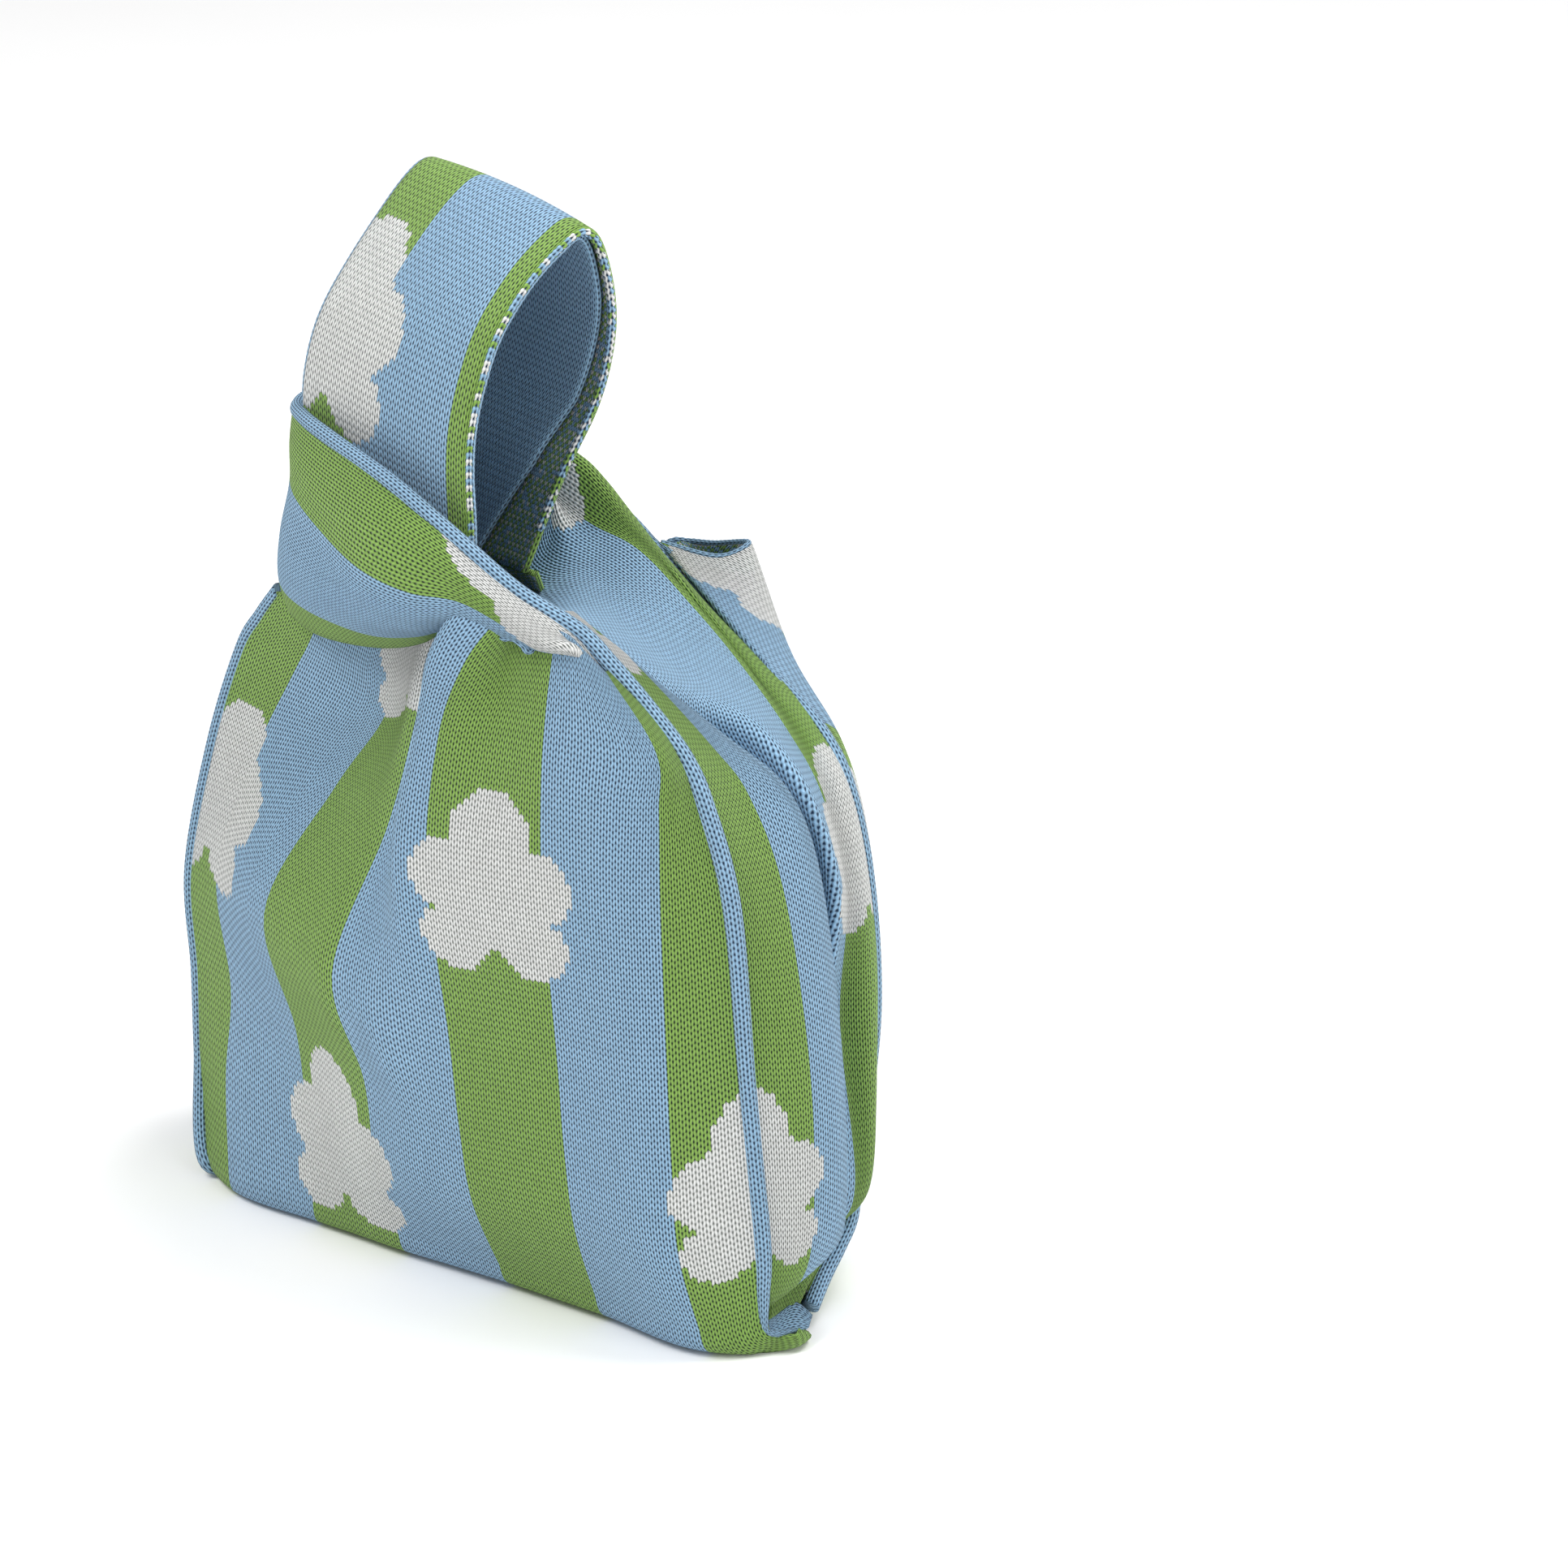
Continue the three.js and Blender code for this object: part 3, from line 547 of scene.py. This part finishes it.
LEFT_GUSSET_LINES = {
    0: [(-101, 13, 4), (-103, 18, 31), (-105, 19, 77), (-99, 19, 110), (-87, 16, 138), (-64, 4, 169)],
    14: [(-99.5, 7, 3), (-108, 10, 31), (-109, 10, 76), (-101, 10, 119), (-86, 5, 145), (-63, -2, 168)],
    32: [(-88, -5, 2.5), (-80, 1, 32), (-79, 2, 76), (-73, 1, 119), (-65, -3, 145), (-58, -9, 168)],
    50: [(-95.5, -15, 3), (-104, -9, 31), (-106, -6, 76), (-97, -7, 121), (-82.5, -10, 146),
         (-64, -12, 168)],
    64: [(-87, -32, 4), (-99.5, -18.5, 30), (-103, -14.5, 77), (-92, -17, 119), (-79, -19, 149),
         (-64, -21.5, 169)],
}
gusset_wales = np.linspace(0, GUSSET_WALES, 56)
left_grid = face(LEFT_GUSSET_LINES, gusset_wales, np.linspace(0, 1, 70))
left_knit = jacquard("left_gusset_jacquard", GUSSET_WALES, [(0, 24, 100), (64, 46, 100)])
left_rows = level(courses(left_grid)) + FIRST_COURSE
left_gusset = cloth("left_gusset_knit", left_grid, gusset_wales, left_rows, [left_knit, inside])
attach(left_gusset, "bag")
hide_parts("left_gusset")


# CORNER RIBS
# A raised welt of plain blue stitches along each corner, where a face joins a gusset. The right one runs
# up the front corner, round the knot as the top edge of the short handle, and down the back corner.
RIB = 2.25
RIB_WALES = 8
RIGHT_RIB = [
    (99.6, -20.5, 5.8), (97.3, -25.2, 6), (95.6, -27.3, 7.4), (95.2, -28, 11), (95, -28, 18),
    (94.8, -28, 32), (91, -29, 75), (88, -31, 122), (81.6, -33, 148), (75.8, -34, 160),
    (66.4, -36, 171.3), (57.2, -38.5, 181.4), (49.4, -41, 189), (35.5, -47, 198), (21, -51, 209),
    (0, -50, 219), (-27, -42, 223.5), (-41, -35, 224), (-52, -25, 222.5), (-56, -13, 222),
    (-51, 2, 220.5), (-36, 13, 220), (-14, 20, 212), (1.5, 25.6, 197.5), (13.5, 28, 189.2),
    (26.5, 29.8, 177), (40, 30.3, 166.8), (56, 29.2, 157.6), (72, 27, 147.8), (82.3, 25.5, 135),
    (89, 25, 110.5), (91.3, 25, 77), (89.5, 23, 45), (88.7, 20.8, 29), (90.3, 16.5, 19.8),
    (91.2, 10, 14.5), (92.3, 2, 9.5), (94.8, -7, 5.2),
]


def plain(name, colour, hole_shade):
    """Plain stitches of one yarn, a little uneven from stitch to stitch."""
    material, shader, wale, course, aside, along = stitches(name)
    mottle = wale.node("ShaderNodeTexNoise", {"Scale": 260.0}) * 0.3
    tone = mottle.blend(colour, tuple(0.75 * c for c in colour))
    yarn(shader, tone, hole_shade, wale, course, aside, along)
    return material


ROUND_STEPS = 17
FINE_STEPS = 40


def cord(name, path, radius, material, around, spacing=1.2, bumps=0.0):
    """A round run of stitches along a path. radius is one or one to a point; around counts its wales."""
    fine = smooth(path, np.linspace(0, 1, FINE_STEPS * len(path)))
    run = steps(fine)
    at = np.linspace(0, run[-1], max(8, int(run[-1] / spacing)))
    line = np.stack([np.interp(at, run, fine[:, k]) for k in range(3)], axis=1)
    ahead = np.gradient(line, axis=0)
    ahead /= np.linalg.norm(ahead, axis=1, keepdims=True)
    side = np.cross(ahead[0], (0.2, 0.1, 1.0))
    sides, ups = [], []
    for t in ahead:
        side = side - t * np.dot(side, t)
        side /= np.linalg.norm(side)
        sides.append(side)
        ups.append(np.cross(t, side))
    turn = np.linspace(0, 2 * math.pi, ROUND_STEPS)
    share = np.interp(at, run, np.linspace(0, 1, len(run)))
    radii = np.interp(share, np.linspace(0, 1, np.size(radius)), np.atleast_1d(radius))
    swell = radii * (1 + bumps * np.abs(np.sin(math.pi * at / COURSE)))
    grid = (
        line[None]
        + np.cos(turn)[:, None, None] * np.array(sides)[None] * swell[None, :, None]
        + np.sin(turn)[:, None, None] * np.array(ups)[None] * swell[None, :, None]
    )[:-1]
    nu, nv = grid.shape[:2]
    index = np.arange(nu * nv).reshape(nu, nv)
    faces = quads(np.vstack([index, index[:1]]))
    ends = [index[::-1, 0].tolist(), index[:, -1].tolist()]
    corners = np.concatenate([faces.ravel(), *ends])
    u = np.repeat(np.linspace(0, around, nu + 1)[:-1], nv)[corners]
    v = np.tile(at / COURSE, nu)[corners]
    # The last strip closes the round, so its far side counts all the wales and not none.
    closing = slice(4 * (len(faces) - nv + 1), 4 * len(faces))
    u[closing] = np.where(u[closing] < around / 4, around, u[closing])
    counts = np.stack([u, v], axis=1)
    slots = np.zeros(len(faces) + len(ends), np.int32)
    return piece(name, grid.reshape(-1, 3), faces.tolist() + ends, counts, [material], slots)


rib_knit = plain("rib_stitches", BLUE, BLUE_HOLE_SHADE)
SIZE_POINTS = [0, 2, 3, 4, 5, 7, 12, 16, 20, 25, 37]
SIZES = [0.7, 1, 1.3, 1.9, 2.4, 2.5, RIB, 2, 1.6, 2, RIB]
rib_size = np.interp(range(len(RIGHT_RIB)), SIZE_POINTS, SIZES)
right_rib = cord("right_rib", RIGHT_RIB, rib_size, rib_knit, RIB_WALES)
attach(right_rib, "bag")
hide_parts("front_right_rib", "short_handle_rib", "back_right_rib")

# At the right foot the rib opens flat over the tucked gusset.
FOOT_RIB = {
    0: [(94.6, -25.6, 9), (94.6, -20, 9.2), (95.1, -14.2, 9.2), (100, -13.6, 6.8)],
    6: [(95.4, -27, 6), (97.3, -25.9, 5.4), (99.2, -21.6, 5), (100.8, -16.8, 4.9)],
}
foot_wales = np.linspace(0, 6, 9)
foot_grid = face(FOOT_RIB, foot_wales, np.linspace(0, 1, 14))
foot_rib = cloth("right_foot_rib", foot_grid, foot_wales, courses(foot_grid), [rib_knit])
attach(foot_rib, "bag")

# The left ribs follow their corners and turn in under the base, clear of the table.
for name, corner in (("front_left_rib", FRONT_LINES[0]), ("back_left_rib", BACK_LINES[124])):
    inner = [(x - 0.5, y - 0.04 * y, max(z, 4.6)) for x, y, z in corner]
    path = [(inner[0][0] + 3, inner[0][1] * 0.4, 3.4)] + inner
    rib = cord(name + "_knit", path, RIB, rib_knit, RIB_WALES)
    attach(rib, "bag")
    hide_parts(name)


# SHORT HANDLE
# A doubled strap, knit outside and plain facing inside, sewn along its lower edge. It lies over to the
# left and holds the long handle like a collar. At the right its lower half rolls under, so that only
# the rib and a strip beside it show.
STRAP_WALES = 38
STRAP_LINES = {
    38: [(62, -37, 176), (55, -39.3, 183.5), (49.4, -41, 189), (42.5, -44.3, 193.8), (35.5, -47, 198),
         (21, -51, 209), (8, -51, 216), (-8, -48.5, 220.5), (-27, -42, 223.5), (-41, -35, 224),
         (-52, -25, 222.5), (-56, -13, 222), (-51, 2, 220.5), (-36, 13, 220), (-14, 20, 212),
         (1.5, 26, 196.5), (13.5, 28.5, 188), (26.5, 30.5, 176), (40, 31, 166)],
    32: [(61.5, -36.5, 174.8), (54.3, -40.3, 181.8), (49.4, -44, 186.5), (43, -48, 190.5),
         (37, -51, 194.5), (23.5, -55, 203), (10, -55.5, 208), (-6, -53, 211), (-27, -45, 213),
         (-42, -37, 215), (-52, -26.3, 215.5), (-57.5, -14, 215), (-54, 3, 213), (-38, 15, 212),
         (-14, 22.5, 204), (3, 26, 193), (16, 28.5, 185), (28.5, 30, 174), (41, 31, 165)],
    26: [(61, -36.5, 174.2), (53.8, -40.6, 181), (51, -45.3, 186), (44.5, -49.5, 187.5),
         (38, -52.3, 190.5), (25.5, -56, 196), (10, -57, 195.5), (-7.5, -54, 197),
         (-27, -45.5, 200.5), (-43.5, -36, 204), (-53.3, -25, 206), (-59.5, -13, 206), (-57, 4, 206),
         (-39, 16.5, 205), (-14, 24, 196), (4, 27.5, 187), (18, 30, 179), (30, 31.5, 169.5),
         (42, 32.5, 161.5)],
    16: [(60.8, -36.3, 174), (53, -39.5, 180.8), (48, -42.5, 183.5), (41, -46, 185), (34.5, -49, 187),
         (22, -54, 189.5), (9, -56, 187), (-8, -53, 185.5), (-31, -45.5, 187.5), (-47, -37, 190),
         (-56.5, -25, 191.5), (-62.5, -12, 191.5), (-60, 5, 191), (-41, 19, 190), (-14, 26, 183),
         (6, 29, 178), (20, 31, 172), (32, 32.5, 166), (43, 33.5, 159)],
    6: [(60.6, -36, 174.2), (52.3, -38.3, 181.4), (46, -39, 184.5), (38.5, -42, 187),
        (32, -45, 188.5), (19.5, -50.5, 187.5), (8, -53, 183), (-9, -50.5, 179), (-33, -43, 177),
        (-49.5, -34.5, 177), (-60.3, -23, 178), (-65, -12, 178), (-62, 5, 178), (-43, 20, 176),
        (-14, 26, 170), (7, 29, 168), (22, 31, 164), (34, 33, 160), (44, 34, 154)],
    0: [(60.5, -35.8, 174.6), (52, -37.6, 182.2), (45, -37, 187), (37.5, -40, 190), (31, -43, 191),
        (18.5, -48.5, 188.5), (8, -50, 180.5), (-9, -47, 174.5), (-34, -39, 169.5), (-49.5, -32, 170),
        (-60, -22, 172), (-65, -12, 172), (-62, 4, 171), (-43, 19, 169), (-14, 25, 163), (8, 28, 162),
        (23, 30.5, 159), (35, 33, 155), (45, 34, 150)],
}
STRAP_LIFT = 0.3
strap_wales = np.linspace(0, STRAP_WALES, 36)
strap_rises = np.linspace(0, 1, 190)
strap_grid = face(STRAP_LINES, strap_wales, strap_rises)
strap_rows = level(courses(strap_grid))
strap_knit = jacquard("short_handle_jacquard", FRONT_WALES, [(0, 17, 110)])
# Where it rolls under, the wales are counted by their true width from the rib, and evenly from there on.
strap_across = np.array([steps(row) for row in strap_grid[::-1].transpose(1, 0, 2)]).T[::-1] / WALE
strap_even = STRAP_WALES - strap_wales[:, None]
strap_across += np.interp(strap_rises, [0.05, 0.2], [0, 1]) * (strap_even - strap_across)
strap = cloth(
    "short_handle_outer_knit", strap_grid, strap_across, strap_rows, [strap_knit, inside], lift=STRAP_LIFT
)
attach(strap, "bag")
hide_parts("short_handle_outer")

FACING_LIFT = -2.1
facing_knit = plain("facing_stitches", BLUE, BLUE_HOLE_SHADE)
facing_wales = np.linspace(1, STRAP_WALES - 1, 30)
facing_grid = face(STRAP_LINES, facing_wales, np.linspace(0.12, 0.97, 150))
facing_rows = courses(facing_grid)
facing = cloth(
    "short_handle_facing_knit", facing_grid, facing_wales, facing_rows, [facing_knit], lift=FACING_LIFT
)
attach(facing, "bag")
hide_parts("short_handle_facing")


def overlocked(name):
    """The overcast edge: short loops of the three yarns, side by side."""
    material, shader, wale, course, aside, along = stitches(name)
    chance = chance_of(wale, course)
    colour = (chance > 0.7).blend((chance > 0.45).blend(BLUE, GREEN), WHITE)
    yarn(shader, colour, BLUE_HOLE_SHADE, wale, course, aside, along)
    return material


overlock = overlocked("overlock_stitches")
seam_line = strap_grid[0] - outward(strap_grid)[0] * 0.7
seam = cord("short_handle_seam_stitches", seam_line[::5], 0.9, overlock, 4, spacing=0.3, bumps=0.4)
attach(seam, "bag")
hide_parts("short_handle_seam")


# LONG HANDLE
# A doubled strap of knit and plain facing, drawn up through the short handle and opened into a wrist
# loop. Its left edge is the rib, its right edge is overlocked, and the facing falls back from that
# edge behind.
LOOP_RIB = [
    (-44.5, -28, 184), (-44.8, -29.5, 210), (-44.8, -30, 228), (-43.6, -28.5, 240), (-42.2, -24.5, 250),
    (-40.6, -16.5, 260), (-37.8, -7, 271), (-36, 2, 279), (-35, 9, 281.5), (-34.2, 15, 277),
    (-33.8, 19, 264), (-34, 19, 248), (-35, 15, 232), (-37, 7, 214), (-39.5, -2, 186),
]
LOOP_NECK = [
    (16.5, -43, 184), (18.3, -44, 207), (18.2, -44.3, 222), (18.3, -43.3, 233), (19.2, -40.3, 245),
    (20.4, -34.8, 257), (22.2, -24.5, 268), (24, -13.5, 275), (25.3, -6, 277.3), (26.6, -1, 272.5),
    (27.6, 2.3, 259), (27, 2.5, 246), (24.7, -1, 231), (20, -9, 213.5), (11.5, -14, 188),
]
LOOP_WALES = 35.5

# The strap is a little crowned across, and its stitches are drawn longer by the pull of the knot.
CROWN = 1.5
LOOP_STRETCH = 1.15
loop_wales = np.linspace(0, LOOP_WALES, 34)
loop_rises = np.linspace(0, 1, 130)
rib_edge = smooth(LOOP_RIB, loop_rises)
neck_edge = smooth(LOOP_NECK, loop_rises)
share = loop_wales[:, None, None] / LOOP_WALES
loop_grid = rib_edge + (neck_edge - rib_edge) * share
loop_grid += outward(loop_grid) * (CROWN * 4 * share * (1 - share))
loop_rows = level(courses(loop_grid)) / LOOP_STRETCH
loop_knit = jacquard("long_handle_jacquard", FRONT_WALES, [(5, 34.5, 100)])
loop = cloth("long_handle_outer_knit", loop_grid, loop_wales, loop_rows, [loop_knit, inside])
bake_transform(loop)
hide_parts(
    "loop_outer", "loop_root_front", "loop_root_back",
    "long_handle_throat_front", "long_handle_throat_back",
)

# The facing falls back by up to 13 wales from the overlocked edge, on the way down behind.
LOOP_FACING_LIFT = -2.2
FALL_RISES = [0, 0.5, 0.6, 0.72, 0.86, 0.93, 1]
FALL_WALES = [0.3, 0.4, 0.8, 1.6, 3.4, 6.5, 13]
reach = 1 - np.interp(loop_rises, FALL_RISES, FALL_WALES) / STRAP_WALES
share = np.linspace(0.02, 1, 30)
loop_inner = rib_edge + (neck_edge - rib_edge) * (share[:, None] * reach)[..., None]
inner_wales = share * STRAP_WALES
loop_facing = cloth(
    "long_handle_facing_knit", loop_inner, inner_wales, loop_rows, [facing_knit], lift=LOOP_FACING_LIFT
)
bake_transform(loop_facing)
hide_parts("loop_facing")

loop_out = outward(loop_grid)
loop_rib_line = loop_grid[0] * 1.1 - loop_grid[1] * 0.1 - loop_out[0] * 0.6
loop_rib = cord("loop_rib_knit", loop_rib_line[::5], 1.4, rib_knit, 5)
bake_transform(loop_rib)
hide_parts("loop_rib")
loop_seam_line = loop_grid[-1] - loop_out[-1] * 0.6
loop_seam = cord("loop_seam_stitches", loop_seam_line[::5], 0.75, overlock, 3, spacing=0.3, bumps=0.5)
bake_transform(loop_seam)
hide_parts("loop_seam")

# The two feet rise from the left of the front and of the back and pass into the short handle.
BETWEEN_FLOWERS = 55
STRAP_FOOT_FRONT = {
    0: [(-62, -23, 168), (-53, -26, 176), (-45, -28, 186)],
    19: [(-28, -34, 172), (-20, -36, 179), (-14, -36, 187)],
    38: [(-4, -40, 178), (7, -41.5, 182), (16.5, -43, 187)],
}
STRAP_FOOT_BACK = {
    0: [(-4, 22, 160), (5, 4, 172), (14.5, -13, 188)],
    19: [(-30, 10, 165), (-20, 0, 176), (-12, -8, 187)],
    38: [(-61, 1, 167), (-50, 0, 177), (-39.5, -2, 186)],
}
for name, lines, length, cut in (
    ("front", STRAP_FOOT_FRONT, 0.024, 0.00096),
    ("back", STRAP_FOOT_BACK, 0.035, 0.0019),
):
    foot_wales = np.linspace(0, STRAP_WALES, 20)
    foot_grid = face(lines, foot_wales, np.linspace(0, 1, 14))
    foot_rows = courses(foot_grid) + BETWEEN_FLOWERS
    foot = cloth("long_handle_foot_" + name, foot_grid, foot_wales, foot_rows, [loop_knit, inside])
    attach(foot, "bag")
    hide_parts("long_handle_base_" + name)
    name + "_knit"


# HEMS AND BOTTOM SEAM
# The neck edges between the straps are hemmed with blue yarn: the front's shows only as a raw end below
# the short handle, and the back's runs along its top. The overlocked seam joins both faces at the base.
HEM_END = [
    (32.5, -48, 192), (33, -50.6, 189), (34.2, -51.4, 187.2), (37, -50.8, 187.4), (39.8, -50.6, 186.2),
    (40.6, -49.6, 184.4), (41, -47.5, 185),
]
BACK_HEM = 0.6
back_top = face(BACK_LINES, np.linspace(0.5, 80, 12), np.array([0.98, 1.0]))
rise = back_top[:, 1] - back_top[:, 0]
back_edge = back_top[:, 1] + rise / np.linalg.norm(rise, axis=1, keepdims=True) * BACK_HEM
for name, edge, size in (("front", HEM_END, 0.75), ("back", back_edge, BACK_HEM)):
    hem = cord(name + "_neck_hem_stitches", edge, size, rib_knit, 4, spacing=0.4, bumps=0.25)
    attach(hem, "bag")
    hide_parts(name + "_neck_hem")
SEAM_END = (86, -8.5, 1)
bottom = cord("bottom_seam_stitches", SEAM[:-1] + [SEAM_END], 0.95, overlock, 4, spacing=0.4, bumps=0.05)
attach(bottom, "bag")
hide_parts("bottom_seam")


# STUDIO
# A pale floor under a white surround. The key stands at the upper left in front, the fill at the
# right, and a soft top lamp behind at the right; all three are large discs.
def area(name, place, aim, size, power):
    """A round soft lamp at a place, turned to what it lights."""
    light = bpy.data.lights.new(name, "AREA")
    light.shape = "DISK"
    light.size = size
    light.energy = power
    lamp = bpy.data.objects.new(name, light)
    lamp.location = place
    lamp.rotation_euler = (Vector(aim) - Vector(place)).to_track_quat("-Z", "Y").to_euler()
    bpy.context.collection.objects.link(lamp)


area("key", (-0.4, -1.1, 1.7), (0, 0, 0.12), 0.9, 23)
area("fill", (1.6, -0.3, 0.9), (0, 0, 0.12), 1.2, 9)
area("top", (0.5, 0.6, 1.8), (0, 0, 0.1), 1.2, 26)

world = bpy.data.worlds.new("surround")
bpy.context.scene.world = world
world.use_nodes = True
surround = world.node_tree.nodes["Background"]
surround.inputs["Color"].default_value = (1, 1, 1, 1)
surround.inputs["Strength"].default_value = 0.5

FLOOR = 6
floor_mesh = bpy.data.meshes.new("floor")
floor_corners = [(-FLOOR, -FLOOR, 0), (FLOOR, -FLOOR, 0), (FLOOR, FLOOR, 0), (-FLOOR, FLOOR, 0)]
floor_mesh.from_pydata(floor_corners, [], [(0, 1, 2, 3)])
floor = bpy.data.objects.new("floor", floor_mesh)
bpy.context.collection.objects.link(floor)
paper = bpy.data.materials.new("pale_floor")
paper.use_nodes = True
tree = paper.node_tree
grain = Knit(tree).node("ShaderNodeTexNoise", {"Scale": 90})
tint = grain.blend((0.95, 0.95, 0.95), (0.98, 0.98, 0.98))
shader = tree.nodes["Principled BSDF"]
tree.links.new(tint.socket, shader.inputs["Base Color"])
shader.inputs["Roughness"].default_value = 0.9
floor_mesh.materials.append(paper)

CAMERA_PLACE = (0.8454, -1.0517, 0.6684)
CAMERA_LOOK = (-0.5450, 0.7501, -0.3746)
camera_data = bpy.data.cameras.new("camera")
camera_data.lens = 130
camera_data.sensor_width = 36
camera = bpy.data.objects.new("camera", camera_data)
camera.location = CAMERA_PLACE
camera.rotation_euler = Vector(CAMERA_LOOK).to_track_quat("-Z", "Y").to_euler()
bpy.context.collection.objects.link(camera)
bpy.context.scene.camera = camera
bpy.context.scene.view_settings.view_transform = "Standard"
